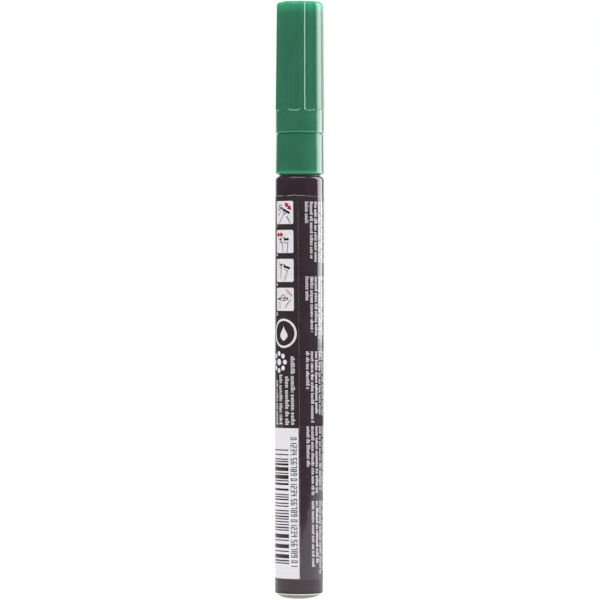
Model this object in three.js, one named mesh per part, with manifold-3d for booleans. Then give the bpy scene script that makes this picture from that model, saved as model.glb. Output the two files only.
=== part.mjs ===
import * as THREE from "three";
import { mergeVertices } from "three/addons/utils/BufferGeometryUtils.js";
import Module from "manifold-3d";

const wasm = await Module();
wasm.setup();

// Valve-action marker with liquid ink, standing on its base with the cap on.
// Millimetres, +Z along the pen's axis towards the cap, origin at the centre of the base, front towards -Y.

// Fits shared by several pieces
const pressGap = 0.05; // room left round a piece that is pressed or seated in another
const slideGap = 0.05; // radial room round a piece that slides
const capGap = 0.06; // radial room between the cap's bore and the collar that it grips

// Barrel: drawn aluminium tube with a domed base and a rolled shoulder
const barrelRadius = 5.58;
const barrelLength = 97.0;
const barrelWall = 0.45;
const baseFlatRadius = 2.3;
const baseHeight = 1.65; // where the domed base has turned into the straight wall
const baseKneeHeight = 0.45;
const baseKneeInset = 0.13;
const shoulderRadius = 1.0;
const mouthInset = 1.08; // from the barrel's outside to the collar in its mouth

// Label: film wrapped round the barrel
const labelThickness = 0.095;
const labelFilmGap = 0.01;
const labelFootMargin = 4.45;
const labelHeadMargin = 4.7;

// Mouthpiece: spigot in the barrel, collar and neck for the cap, shoulder and cone round the nib
const crimpGap = 0.25; // from the spigot's chamfer to the rolled lip above it
const spigotLength = 7.75;
const spigotRibCount = 3;
const spigotRibHeight = 0.9;
const spigotRibDepth = 0.18;
const collarHeight = 1.0;
const neckLength = 12.9;
const neckStep = 0.15;
const snapRingDrop = 5.4; // from the shoulder down to the middle of the snap ring
const snapRingHeight = 0.6;
const neckChamfer = 0.6;
const coneRootHeight = 0.5;
const coneLength = 11.4;
const coneWall = 0.5;
const chamberRoof = 0.8;

// Nib and the felt round its back
const nibRadius = 1.0;
const nibProjection = 4.2;
const nibTipRadius = 0.35;
const nibTaper = 2.0;
const nibTravel = 1.5;
const bufferWall = 1.25;

// Valve: seat, plunger, spring and cage
const seatThickness = 1.6;
const pinRadius = 0.9;
const pinLength = 3.65;
const seatInkGap = 0.6;
const stemRadius = 1.0;
const stemSpare = 1.0; // left under the stem when the nib is pressed home
const flangeThickness = 1.35;
const flangeRim = 0.15; // by which the flange stands proud of the spring
const flangeChamfer = 0.3;
const springWireRadius = 0.2;
const springStemGap = 0.55;
const springTurns = 8;
const counterboreDepth = 7.0;
const cageDrop = 8.0; // how far the cage hangs below the mouthpiece
const cageWall = 0.95;
const cageInkGap = 0.5;
const cageFloor = 1.0;
const cageFloorHole = 1.2;
const cageFlangeReach = 0.95;
const cageFlangeHeight = 0.75;
const cageSlotCount = 4;
const cageSlotWidth = 1.8;
const cageSlotMargin = 0.8; // solid left above the cage floor and below its flange

// Mixing ball, loose in the ink
const ballRadius = 2.4;
const ballGap = 0.05;

// Cap and its inner seal
const capSeat = 0.2; // open line between the barrel's lip and the cap's mouth
const capHeadroom = 9.0; // free space above the nib
const capRoof = 1.85;
const capBoreStep = 0.8; // by which the bore narrows above the neck
const capStepClearance = 1.0; // from the mouthpiece's shoulder to that narrowing
const capMouthChamfer = 0.16;
const capMouthDepth = 0.7;
const capFootFace = 0.06; // flat ring left round the mouth
const capFootChamfer = 0.42;
const capFootWall = 0.99;
const capWaistWall = 0.87;
const capFootHeight = 9.45; // from the mouth to the undercut line
const undercutDepth = 0.24;
const undercutHeight = 0.2;
const undercutCorner = 0.2;
const bandWall = 0.99;
const bandHeight = 5.0;
const landStep = 0.04; // by which the lands between flutes stand proud of the band
const landStepHeight = 0.2;
const landDraft = 0.22; // by which the cap narrows to its top
const capEdgeRadius = 0.9;
const flutePairs = 4;
const fluteDepth = 0.3;
const fluteEndHeight = 0.25; // over which a flute runs out into the band
const fluteMouthDegrees = 30;
const fluteFloorDegrees = 22;
const flutePairDegrees = 38.4; // from one flute of a pair to the other
const flutePairFirstDegrees = 5.7; // middle of the first pair, from the front towards +X
const sealWall = 0.5;
const sealRoof = 0.6;
const sealConeGap = 0.1;

// Facets
const roundSides = 48;
const smallSides = 24;
const curveSteps = 4;
const springStepsPerTurn = 8;
const springWireSides = 5;
const ballSides = 20;
const ballRings = 14;
const mergeDistance = 1e-4;

// Radii worked out from the barrel inwards and from the nib outwards
const boreRadius = barrelRadius - barrelWall;
const collarRadius = barrelRadius - mouthInset;
const lipRadius = collarRadius + pressGap;
const spigotRadius = boreRadius - pressGap;
const neckRadius = collarRadius - neckStep;
const capBore = collarRadius + capGap;
const sealBore = capBore - capBoreStep;
const sealRadius = sealBore - pressGap;
const sealInnerRadius = sealRadius - sealWall;
const coneRootRadius = sealInnerRadius - sealConeGap;
const nibBore = nibRadius + slideGap;
const coneTipRadius = nibBore + coneWall;
const bufferBore = nibRadius + 2 * slideGap;
const bufferRadius = bufferBore + bufferWall;
const chamberRadius = bufferRadius + pressGap;
const seatHole = pinRadius + seatInkGap;
const springRadius = stemRadius + springStemGap + springWireRadius;
const flangeRadius = springRadius + springWireRadius + flangeRim;
const cageBore = flangeRadius + cageInkGap;
const cageRadius = cageBore + cageWall;
const counterboreRadius = cageRadius + pressGap;

// Heights worked out from the base upwards
const spigotTop = barrelLength - shoulderRadius - crimpGap;
const spigotFoot = spigotTop - spigotLength;
const collarTop = barrelLength + collarHeight;
const shoulderHeight = barrelLength + neckLength;
const snapRingHeightMid = shoulderHeight - snapRingDrop;
const coneTop = shoulderHeight + coneLength;
const chamberTop = shoulderHeight - chamberRoof;
const seatStep = spigotFoot + counterboreDepth;
const seatTop = seatStep - pressGap;
const seatFoot = seatTop - seatThickness;
const cageRim = seatFoot - pressGap;
const cageFoot = spigotFoot - cageDrop;
const cageFloorTop = cageFoot + cageFloor;
const flangeFoot = seatFoot - flangeThickness;
const stemFoot = cageFloorTop + nibTravel + stemSpare;
const nibFoot = seatFoot + pinLength;
const nibTop = coneTop + nibProjection;
const bufferFoot = seatTop + pressGap;
const capFoot = barrelLength + capSeat;
const sealFoot = shoulderHeight + pressGap;
const sealCeiling = nibTop + capHeadroom;
const sealTop = sealCeiling + sealRoof;
const capCeiling = sealTop + pressGap;
const capTop = capCeiling + capRoof;

// Turns an outline of (radius, height) about the Z axis; outer sides run upwards.
function turned(outline, sides = roundSides) {
  const geometry = new THREE.LatheGeometry(outline.getPoints(curveSteps), sides);
  geometry.rotateX(Math.PI / 2);
  return geometry;
}

function outlineFrom(radius, height) {
  return new THREE.Path().moveTo(radius, height);
}

// A closed solid, with only position left so that shared vertices merge.
function solidOf(geometry) {
  geometry.deleteAttribute("normal");
  geometry.deleteAttribute("uv");
  const merged = mergeVertices(geometry, mergeDistance);
  return new wasm.Manifold(
    new wasm.Mesh({
      numProp: 3,
      vertProperties: new Float32Array(merged.attributes.position.array),
      triVerts: new Uint32Array(merged.index.array),
    }),
  );
}

function geometryOf(solid) {
  const mesh = solid.getMesh();
  const geometry = new THREE.BufferGeometry();
  geometry.setAttribute("position", new THREE.BufferAttribute(mesh.vertProperties, mesh.numProp));
  geometry.setIndex(new THREE.BufferAttribute(mesh.triVerts, 1));
  geometry.computeVertexNormals();
  return geometry;
}

// Drawn tube: domed base with a flat to stand on, straight wall, shoulder rolled in over the spigot.
function barrelTube() {
  const inwards = boreRadius / barrelRadius;
  const shoulderFoot = barrelLength - shoulderRadius;
  const shoulderCentre = barrelRadius - shoulderRadius;
  const outline = outlineFrom(0, 0)
    .lineTo(baseFlatRadius, 0)
    .quadraticCurveTo(barrelRadius - baseKneeInset, baseKneeHeight, barrelRadius, baseHeight)
    .lineTo(barrelRadius, shoulderFoot)
    .absarc(shoulderCentre, shoulderFoot, shoulderRadius, 0, Math.PI / 2, false)
    .lineTo(lipRadius, barrelLength)
    .lineTo(lipRadius, barrelLength - barrelWall)
    .lineTo(shoulderCentre, barrelLength - barrelWall)
    .absarc(shoulderCentre, shoulderFoot, shoulderRadius - barrelWall, Math.PI / 2, 0, true)
    .lineTo(boreRadius, baseHeight + barrelWall)
    .quadraticCurveTo(
      (barrelRadius - baseKneeInset) * inwards,
      baseKneeHeight + barrelWall,
      baseFlatRadius * inwards,
      barrelWall,
    )
    .lineTo(0, barrelWall);
  return turned(outline);
}

function barrelLabel() {
  const inner = barrelRadius + labelFilmGap;
  const outer = inner + labelThickness;
  const top = barrelLength - labelHeadMargin;
  const outline = outlineFrom(inner, labelFootMargin)
    .lineTo(outer, labelFootMargin)
    .lineTo(outer, top)
    .lineTo(inner, top)
    .lineTo(inner, labelFootMargin);
  return turned(outline);
}

// Front section: ribbed spigot, collar, neck with its snap ring, shoulder for the seal, cone with the nib's bore.
function mouthpiece() {
  const chamfer = spigotRadius - collarRadius;
  const ribPitch = spigotLength / (spigotRibCount + 1);
  const outline = outlineFrom(counterboreRadius, spigotFoot).lineTo(spigotRadius - spigotRibDepth, spigotFoot);
  for (let rib = 1; rib <= spigotRibCount; rib++) {
    const middle = spigotFoot + rib * ribPitch - ribPitch / 2;
    outline
      .lineTo(spigotRadius - spigotRibDepth, middle - spigotRibHeight / 2)
      .lineTo(spigotRadius, middle - spigotRibHeight / 2 + spigotRibDepth)
      .lineTo(spigotRadius, middle + spigotRibHeight / 2)
      .lineTo(spigotRadius - spigotRibDepth, middle + spigotRibHeight / 2);
  }
  outline
    .lineTo(spigotRadius - spigotRibDepth, spigotTop - ribPitch / 2)
    .lineTo(spigotRadius, spigotTop - ribPitch / 2 + spigotRibDepth)
    .lineTo(spigotRadius, spigotTop)
    .lineTo(collarRadius, spigotTop + chamfer)
    .lineTo(collarRadius, collarTop)
    .lineTo(neckRadius, collarTop + neckStep)
    .lineTo(neckRadius, snapRingHeightMid - snapRingHeight / 2 - neckStep)
    .lineTo(collarRadius, snapRingHeightMid - snapRingHeight / 2)
    .lineTo(collarRadius, snapRingHeightMid + snapRingHeight / 2)
    .lineTo(neckRadius, snapRingHeightMid + snapRingHeight / 2 + neckStep)
    .lineTo(neckRadius, shoulderHeight - neckChamfer)
    .lineTo(sealRadius + pressGap, shoulderHeight)
    .lineTo(coneRootRadius, shoulderHeight)
    .lineTo(coneRootRadius, shoulderHeight + coneRootHeight)
    .lineTo(coneTipRadius, coneTop - coneWall / 2)
    .lineTo(coneTipRadius - coneWall / 2, coneTop)
    .lineTo(nibBore, coneTop)
    .lineTo(nibBore, chamberTop)
    .lineTo(chamberRadius, chamberTop)
    .lineTo(chamberRadius, seatStep)
    .lineTo(counterboreRadius, seatStep)
    .lineTo(counterboreRadius, spigotFoot);
  return turned(outline);
}

// Fibre rod with a bullet tip.
function nib() {
  const outline = outlineFrom(0, nibFoot)
    .lineTo(nibRadius, nibFoot)
    .lineTo(nibRadius, nibTop - nibTaper)
    .quadraticCurveTo(nibRadius, nibTop - nibTaper / 2, nibTipRadius, nibTop - nibTipRadius / 2)
    .lineTo(0, nibTop);
  return turned(outline, smallSides);
}

function inkBuffer() {
  const top = chamberTop - pressGap;
  const outline = outlineFrom(bufferBore, bufferFoot)
    .lineTo(bufferRadius, bufferFoot)
    .lineTo(bufferRadius, top)
    .lineTo(bufferBore, top)
    .lineTo(bufferBore, bufferFoot);
  return turned(outline);
}

function valveSeat() {
  const outline = outlineFrom(seatHole, seatFoot)
    .lineTo(cageRadius, seatFoot)
    .lineTo(cageRadius, seatTop)
    .lineTo(seatHole, seatTop)
    .lineTo(seatHole, seatFoot);
  return turned(outline);
}

// Pin that meets the nib, flange that closes the seat, stem that guides the spring.
function valvePlunger() {
  const outline = outlineFrom(0, stemFoot)
    .lineTo(stemRadius, stemFoot)
    .lineTo(stemRadius, flangeFoot)
    .lineTo(flangeRadius, flangeFoot)
    .lineTo(flangeRadius, seatFoot - flangeChamfer)
    .lineTo(flangeRadius - flangeChamfer, seatFoot)
    .lineTo(pinRadius, seatFoot)
    .lineTo(pinRadius, nibFoot)
    .lineTo(0, nibFoot);
  return turned(outline, smallSides);
}

// Centre line of the coil between the cage's floor and the flange.
class CoilPath extends THREE.Curve {
  getPoint(share, target = new THREE.Vector3()) {
    const angle = share * springTurns * 2 * Math.PI;
    const foot = cageFloorTop + pressGap + springWireRadius;
    const top = flangeFoot - pressGap - springWireRadius;
    const height = foot + share * (top - foot);
    return target.set(springRadius * Math.cos(angle), springRadius * Math.sin(angle), height);
  }
}

function valveSpring() {
  const wire = new THREE.Shape();
  for (let corner = 0; corner < springWireSides; corner++) {
    const angle = (corner / springWireSides) * 2 * Math.PI;
    const x = springWireRadius * Math.cos(angle);
    const y = springWireRadius * Math.sin(angle);
    if (corner === 0) {
      wire.moveTo(x, y);
    } else {
      wire.lineTo(x, y);
    }
  }
  return new THREE.ExtrudeGeometry(wire, {
    steps: springTurns * springStepsPerTurn,
    extrudePath: new CoilPath(),
    bevelEnabled: false,
  });
}

// Cup that clamps the seat from below, with slots that let the ink in.
function valveCage() {
  const flangeRadiusOut = cageRadius + cageFlangeReach;
  const flangeTop = spigotFoot - pressGap;
  const cup = outlineFrom(cageFloorHole, cageFoot)
    .lineTo(cageRadius, cageFoot)
    .lineTo(cageRadius, flangeTop - cageFlangeHeight)
    .lineTo(flangeRadiusOut, flangeTop - cageFlangeHeight)
    .lineTo(flangeRadiusOut, flangeTop)
    .lineTo(cageRadius, flangeTop)
    .lineTo(cageRadius, cageRim)
    .lineTo(cageBore, cageRim)
    .lineTo(cageBore, cageFloorTop)
    .lineTo(cageFloorHole, cageFloorTop)
    .lineTo(cageFloorHole, cageFoot);
  let cage = solidOf(turned(cup));
  const slotFoot = cageFloorTop + cageSlotMargin;
  const slotTop = flangeTop - cageFlangeHeight - cageSlotMargin;
  const slotInner = cageBore / 2;
  const slotLength = 2 * cageRadius - slotInner;
  for (let slot = 0; slot < cageSlotCount; slot++) {
    const cutter = new THREE.BoxGeometry(slotLength, cageSlotWidth, slotTop - slotFoot);
    cutter.translate(slotInner + slotLength / 2, 0, (slotFoot + slotTop) / 2);
    cutter.rotateZ(((slot + 0.5) / cageSlotCount) * 2 * Math.PI);
    cage = cage.subtract(solidOf(cutter));
  }
  return geometryOf(cage);
}

function mixingBall() {
  const ball = new THREE.SphereGeometry(ballRadius, ballSides, ballRings);
  ball.rotateX(Math.PI / 2);
  ball.translate(0, 0, barrelWall + ballGap + ballRadius);
  return ball;
}

// Spokes round the cap as [angle, share of the flute's depth]: a land, a sloping wall, the floor, a wall.
function fluteSpokes() {
  const pitch = 360 / flutePairs;
  const mouth = fluteMouthDegrees / 2;
  const floor = fluteFloorDegrees / 2;
  const spokes = [];
  for (let flute = 0; flute < 2 * flutePairs; flute++) {
    const opensPair = flute % 2 === 0;
    const fromLast = opensPair ? pitch - flutePairDegrees : flutePairDegrees;
    const pairMiddle = flutePairFirstDegrees + Math.floor(flute / 2) * pitch;
    const middle = pairMiddle + (opensPair ? -flutePairDegrees : flutePairDegrees) / 2;
    const stops = [
      [-fromLast / 2, 0],
      [-mouth, 0],
      [-floor, 1],
      [-floor / 3, 1],
      [floor / 3, 1],
      [floor, 1],
      [mouth, 0],
    ];
    for (const [offset, share] of stops) {
      spokes.push([THREE.MathUtils.degToRad(middle + offset), share]);
    }
  }
  return spokes;
}

// A closed body through rings of [radius, height, flute depth]; outer sides run upwards.
function flutedBody(rings) {
  const spokes = fluteSpokes();
  const positions = [];
  for (const [radius, height, depth] of rings) {
    for (const [angle, share] of spokes) {
      const reach = radius - depth * share;
      positions.push(reach * Math.sin(angle), -reach * Math.cos(angle), height);
    }
  }
  const indices = [];
  for (let ring = 0; ring + 1 < rings.length; ring++) {
    for (let spoke = 0; spoke < spokes.length; spoke++) {
      const next = (spoke + 1) % spokes.length;
      const low = ring * spokes.length;
      const high = low + spokes.length;
      indices.push(low + spoke, low + next, high + next);
      indices.push(low + spoke, high + next, high + spoke);
    }
  }
  const geometry = new THREE.BufferGeometry();
  geometry.setAttribute("position", new THREE.Float32BufferAttribute(positions, 3));
  geometry.setIndex(indices);
  geometry.computeVertexNormals();
  return geometry;
}

// Cap: bore inside, then chamfered foot, undercut line, plain band, flutes and rounded top edge outside.
function capShell() {
  const mouthRadius = capBore + capMouthChamfer;
  const footFace = mouthRadius + capFootFace;
  const footRadius = capBore + capFootWall;
  const waistRadius = capBore + capWaistWall;
  const bandRadius = capBore + bandWall;
  const landFootRadius = bandRadius + landStep;
  const landTopRadius = landFootRadius - landDraft;
  const boreStepFoot = shoulderHeight + capStepClearance;
  const undercutFoot = capFoot + capFootHeight;
  const bandFoot = undercutFoot + undercutHeight;
  const bandTop = bandFoot + bandHeight;
  const fluteFoot = bandTop + fluteEndHeight;
  const rings = [
    [0, capCeiling, 0],
    [sealBore, capCeiling, 0],
    [sealBore, boreStepFoot + capBoreStep, 0],
    [capBore, boreStepFoot, 0],
    [capBore, capFoot + capMouthDepth, 0],
    [mouthRadius, capFoot, 0],
    [footFace, capFoot, 0],
    [footRadius, capFoot + capFootChamfer, 0],
    [waistRadius, undercutFoot - undercutCorner, 0],
    [waistRadius - undercutDepth, undercutFoot, 0],
    [waistRadius - undercutDepth, bandFoot - undercutHeight / 2, 0],
    [bandRadius, bandFoot, 0],
    [bandRadius, bandTop, 0],
    [bandRadius, fluteFoot, fluteDepth - landStep],
    [landFootRadius, fluteFoot + landStepHeight, fluteDepth],
  ];
  for (let step = 0; step <= curveSteps; step++) {
    const turn = ((step / curveSteps) * Math.PI) / 2;
    const radius = landTopRadius - capEdgeRadius * (1 - Math.cos(turn));
    const height = capTop - capEdgeRadius * (1 - Math.sin(turn));
    rings.push([radius, height, fluteDepth]);
  }
  rings.push([0, capTop, 0]);
  return flutedBody(rings);
}

// Thimble whose mouth rests on the mouthpiece's shoulder and keeps the nib wet.
function capInnerSeal() {
  const outline = outlineFrom(0, sealCeiling)
    .lineTo(sealInnerRadius, sealCeiling)
    .lineTo(sealInnerRadius, sealFoot)
    .lineTo(sealRadius, sealFoot)
    .lineTo(sealRadius, sealTop)
    .lineTo(0, sealTop);
  return turned(outline);
}

function named(name, geometry, color, roughness, metalness) {
  const mesh = new THREE.Mesh(geometry, new THREE.MeshStandardMaterial({ color, roughness, metalness }));
  mesh.name = name;
  return mesh;
}

const barrel = new THREE.Group();
barrel.add(
  named("barrel_tube", barrelTube(), 0x352c2f, 0.2, 0.0),
  named("barrel_label", barrelLabel(), 0x3a2f33, 0.3, 0.0),
  named("mouthpiece", mouthpiece(), 0x1d1c1e, 0.45, 0.0),
  named("ink_buffer", inkBuffer(), 0xded9cc, 0.9, 0.0),
  named("valve_seat", valveSeat(), 0x2b2b2d, 0.7, 0.0),
  named("valve_housing", valveCage(), 0xe4e2da, 0.5, 0.0),
  named("valve_spring", valveSpring(), 0xb9babd, 0.3, 1.0),
);

const stem = new THREE.Group();
stem.add(
  named("nib", nib(), 0xefe9da, 0.85, 0.0),
  named("valve_plunger", valvePlunger(), 0xe9e7e0, 0.45, 0.0),
);

const cap = new THREE.Group();
cap.add(
  named("cap_shell", capShell(), 0x2f7356, 0.28, 0.0),
  named("cap_inner_seal", capInnerSeal(), 0xe8ebe6, 0.4, 0.0),
);

const marker = new THREE.Group();
marker.add(barrel, stem, cap, named("mixing_ball", mixingBall(), 0xb4b6ba, 0.2, 1.0));

export default marker;
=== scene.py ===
import math
import random

import bmesh
import bpy
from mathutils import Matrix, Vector

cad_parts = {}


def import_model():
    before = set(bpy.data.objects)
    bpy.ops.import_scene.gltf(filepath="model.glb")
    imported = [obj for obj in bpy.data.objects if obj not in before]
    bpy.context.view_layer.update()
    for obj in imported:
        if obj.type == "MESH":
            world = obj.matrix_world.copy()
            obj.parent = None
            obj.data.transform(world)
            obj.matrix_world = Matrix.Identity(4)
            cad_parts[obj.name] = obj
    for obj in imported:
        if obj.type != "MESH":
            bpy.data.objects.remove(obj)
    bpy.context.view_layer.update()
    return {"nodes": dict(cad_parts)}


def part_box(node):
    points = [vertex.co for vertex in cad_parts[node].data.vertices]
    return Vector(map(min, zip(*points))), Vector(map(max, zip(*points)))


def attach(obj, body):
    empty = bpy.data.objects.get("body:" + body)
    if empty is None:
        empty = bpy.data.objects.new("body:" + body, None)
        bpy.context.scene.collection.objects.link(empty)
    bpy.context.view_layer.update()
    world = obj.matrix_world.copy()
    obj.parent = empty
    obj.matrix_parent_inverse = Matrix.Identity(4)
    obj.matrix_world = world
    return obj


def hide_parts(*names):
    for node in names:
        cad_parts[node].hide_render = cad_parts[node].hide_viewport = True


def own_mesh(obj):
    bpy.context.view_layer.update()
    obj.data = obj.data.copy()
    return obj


# Valve-action marker standing on its base with the cap on. Metres, Z up, front of the label towards -Y.

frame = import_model()

MM = 0.001
FULL_TURN = 2 * math.pi
NOISE_RANGE = (0.35, 0.65)  # where most of a noise lies


def reach(node):
    """Radius, foot and top of a turned CAD node."""
    low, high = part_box(node)
    return high.x, low.z, high.z


# Sizes taken from the frame
barrel_radius, _, barrel_top = reach("barrel_tube")
label_radius, label_foot, label_top = reach("barrel_label")
spigot_radius, spigot_foot, cone_top = reach("mouthpiece")
nib_radius, nib_foot, nib_top = reach("nib")
buffer_radius, buffer_foot, buffer_top = reach("ink_buffer")
seat_radius, seat_foot, seat_top = reach("valve_seat")
flange_radius, stem_foot, pin_top = reach("valve_plunger")
_, cage_foot, _ = reach("valve_housing")
ball_radius, ball_foot, ball_top = reach("mixing_ball")
seal_radius, seal_foot, seal_top = reach("cap_inner_seal")
_, cap_foot, cap_top = reach("cap_shell")

# Barrel
BARREL_WALL = 0.45 * MM
BASE_FLAT_RADIUS = 2.3 * MM
BASE_HEIGHT = 1.65 * MM
BASE_KNEE_HEIGHT = 0.45 * MM
BASE_KNEE_INSET = 0.13 * MM
LACQUER_FOOT = 1.35 * MM  # below this the metal is bare
SHOULDER_RADIUS = 1.0 * MM
LIP_RADIUS = 4.55 * MM

# Front section
SPIGOT_TOP = barrel_top - SHOULDER_RADIUS - 0.25 * MM
COLLAR_RADIUS = 4.5 * MM
COLLAR_TOP = barrel_top + 1.0 * MM
NECK_RADIUS = 4.35 * MM
SHOULDER_HEIGHT = seal_foot - 0.05 * MM
SNAP_RING_HEIGHT = SHOULDER_HEIGHT - 5.4 * MM
SNAP_RING_HALF = 0.3 * MM
CONE_ROOT_RADIUS = 3.11 * MM
CONE_TIP_RADIUS = 1.55 * MM
NIB_BORE = 1.05 * MM
CHAMBER_RADIUS = buffer_radius + 0.05 * MM
CHAMBER_TOP = buffer_top + 0.05 * MM
COUNTERBORE_RADIUS = seat_radius + 0.05 * MM
SEAT_STEP = seat_top + 0.05 * MM
SPIGOT_GROOVE = 0.18 * MM
SPIGOT_RIBS = 4

# Nib and valve
NIB_TAPER = 2.0 * MM
NIB_TIP_RADIUS = 0.35 * MM
BUFFER_BORE = 1.1 * MM
SEAT_HOLE = 1.5 * MM
PIN_RADIUS = 0.9 * MM
STEM_RADIUS = 1.0 * MM
FLANGE_THICKNESS = 1.35 * MM
SPRING_RADIUS = 1.75 * MM
SPRING_WIRE = 0.2 * MM
SPRING_TURNS = 8
SPRING_GAP = 0.05 * MM
CAGE_FLOOR_TOP = cage_foot + 1.0 * MM
FLANGE_FOOT = seat_foot - FLANGE_THICKNESS

# Cap
CAP_BORE = 4.56 * MM
SEAL_BORE = seal_radius + 0.05 * MM
CAP_CEILING = seal_top + 0.05 * MM
CAP_STEP = SHOULDER_HEIGHT + 1.0 * MM
CAP_MOUTH_RADIUS = 4.72 * MM
CAP_MOUTH_DEPTH = 0.7 * MM
CAP_FOOT_FACE = 4.78 * MM
CAP_FOOT_RADIUS = 5.55 * MM
CAP_FOOT_CHAMFER = 0.42 * MM
CAP_WAIST_RADIUS = 5.43 * MM
UNDERCUT_FOOT = cap_foot + 9.45 * MM
UNDERCUT_HEIGHT = 0.2 * MM
UNDERCUT_DEPTH = 0.24 * MM
BAND_FOOT = UNDERCUT_FOOT + UNDERCUT_HEIGHT
BAND_TOP = BAND_FOOT + 5.0 * MM
BAND_RADIUS = 5.55 * MM
LAND_STEP = 0.04 * MM
LAND_STEP_HEIGHT = 0.2 * MM
LAND_FOOT_RADIUS = BAND_RADIUS + LAND_STEP
LAND_TOP_RADIUS = LAND_FOOT_RADIUS - 0.22 * MM
CAP_EDGE_RADIUS = 0.9 * MM
CROWN_RING = 0.7  # where a ring lies on the flat top, as a share of its radius
FLUTE_PAIRS = 4
FLUTE_DEPTH = 0.3 * MM
FLUTE_END = 0.28 * MM
FLUTE_CORNER = 0.17 * MM  # by which the end of a flute rises towards its walls
FLUTE_CORNER_POWER = 8  # the more, the nearer to the walls it rises
FLUTE_MOUTH = math.radians(15)
FLUTE_FLOOR = math.radians(11)
FLUTE_PAIR = math.radians(38.4)  # from one flute of a pair to the other
FLUTE_PAIR_FIRST = math.radians(5.7)
SEAL_INNER_RADIUS = 3.21 * MM
SEAL_CEILING = seal_top - 0.6 * MM

# Label film and what is printed on it
FILM = 0.025 * MM
FILM_AIR = 0.005 * MM
FILM_OVERLAP = 2.0 * MM
FILM_RAMP = 0.7 * MM
FILM_RIM = 0.07 * MM
FILM_CORNER = 0.5 * MM  # cut off the film's top corner at the seam
FILM_WANDER = 0.02 * MM  # by which the top edge strays from a straight line
FILM_EASE = 2 * MM  # depth below the top edge over which its rise and its wander fade
FILM_BASE = barrel_radius + 0.035 * MM
SEAM_START = -0.40 * MM  # round the barrel from the front to the seam, at the label's top
SLANT = 0.0095  # sideways run of the seam for each length of it
INK = 0.006 * MM
INK_BITE = 0.004 * MM
INK_WEAR = 0.9  # brightness of the worn spots
INK_POINT = 0.02 * MM  # width to which a pointed stroke runs out
FILM_WAVES = (1.6, 2.0, (1, 1, 0.6))  # the noise that the film and the print on it both follow
PRINT_STEP = 0.3 * MM
PANEL_STEP = 2 * MM
HAZE_AND_REFLECTION_EDGE = 8.0 * MM  # height up to which the film is hazy at the front, and lighter with a painted reflection
HAZE_AND_REFLECTION_SLOPE = 4.0  # rise of that edge for each length to the right
HAZE_AND_REFLECTION_RAGGED = 7.0 * MM
film_length = label_top - label_foot
film_width = FULL_TURN * label_radius

# Top edge of the film near the seam, where it was wrapped out of true and stands up
RIM_RISE = 0.16 * MM
RIM_RISE_RIGHT = 0.9 * MM  # full rise up to here
RIM_FALL_RIGHT = 2 * MM
RIM_SLOW = 0.6  # share of the rise that comes on slowly from the left
RIM_STEEP_LEFT = 2.4 * MM  # how far left of the seam the rest of it starts
RIM_STEEP_LENGTH = 0.8 * MM
RIM_PEAK = 0.2 * MM
RIM_PEAK_LEFT = 0.72 * MM
RIM_PEAK_HALF = 0.4 * MM

# Facets
ROUND = 160
SMALL = 64
BEAD = 6
FLUTE_WALL_SPOKES = 8
FLUTE_FLOOR_SPOKES = 14
LAND_SPOKES = 6
FLUTE_END_RINGS = 16
SPRING_STEPS = 32  # for each turn
SPRING_SIDES = 12
CIRCLE_STEPS = 48
DISC_STEPS = 16
FILM_COLUMNS = 110
RAMP_COLUMNS = 6
FILM_ROWS = 24


def smooth(share):
    share = min(max(share, 0.0), 1.0)
    return share * share * (3 - 2 * share)


def slope(share, ease=0.15):
    """Rises evenly from 0 to 1, eased over a short share at both ends."""
    share = min(max(share, 0.0), 1.0)
    if share < ease:
        rise = share * share / (2 * ease)
    elif share > 1 - ease:
        rise = 1 - ease - (1 - share) ** 2 / (2 * ease)
    else:
        rise = share - ease / 2
    return rise / (1 - ease)


def spread(start, end, steps):
    """Evenly spaced values from start up to but without end."""
    return [start + (end - start) * step / steps for step in range(steps)]


def span(start, end, steps):
    """Evenly spaced values from start to end, both included."""
    return spread(start, end, steps) + [end]


def rounded(corners, closed=False):
    """The outline through corners of (radius, height) or (radius, height, fillet in millimetres)."""
    points = []
    for index, (radius, height, *fillet) in enumerate(corners):
        inner = closed or 0 < index < len(corners) - 1
        if not (fillet and inner):
            points.append((radius, height))
            continue
        bow = fillet[0] * MM
        here = Vector((radius, height))
        before = (Vector(corners[index - 1][:2]) - here).normalized()
        after = (Vector(corners[(index + 1) % len(corners)][:2]) - here).normalized()
        half = before.angle(after) / 2
        centre = here + (before + after).normalized() * bow / math.sin(half)
        start = here + before * bow / math.tan(half) - centre
        end = here + after * bow / math.tan(half) - centre
        for share in span(0, 1, BEAD):
            points.append(tuple(centre + start.lerp(end, share).normalized() * bow))
    return points


def arc(centre_radius, centre_height, radius, start, end, steps=BEAD * 2):
    """Outline points on an arc, with angles in degrees from straight out towards up."""
    angles = [math.radians(angle) for angle in span(start, end, steps)]
    return [(centre_radius + radius * math.cos(a), centre_height + radius * math.sin(a)) for a in angles]


def bend(start, knee, end, steps=BEAD * 2):
    """Outline points on a curve that leaves start and reaches end heading for the knee."""
    points = []
    for share in span(0, 1, steps):
        first, second, third = (1 - share) ** 2, 2 * share * (1 - share), share * share
        points.append(tuple(first * a + second * b + third * c for a, b, c in zip(start, knee, end)))
    return points


def washer(bore, radius, foot, top, edge):
    """The closed outline of a plain ring, with fillets of edge millimetres."""
    corners = [(bore, foot, edge), (radius, foot, edge), (radius, top, edge), (bore, top, edge)]
    return rounded(corners, closed=True)


def add(name, data):
    """A new object in the scene."""
    thing = bpy.data.objects.new(name, data)
    bpy.context.scene.collection.objects.link(thing)
    return thing


def piece_from(name, mesh, *looks):
    """The object for a finished bmesh, shaded smooth except at its hard edges."""
    bmesh.ops.recalc_face_normals(mesh, faces=mesh.faces)
    data = bpy.data.meshes.new(name)
    mesh.to_mesh(data)
    mesh.free()
    for look in looks:
        data.materials.append(look.material)
    data.shade_smooth()
    data.set_sharp_from_angle(angle=math.radians(50))
    piece = add(name, data)
    weighted = piece.modifiers.new("weighted normals", "WEIGHTED_NORMAL")
    weighted.keep_sharp = True
    return piece


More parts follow.
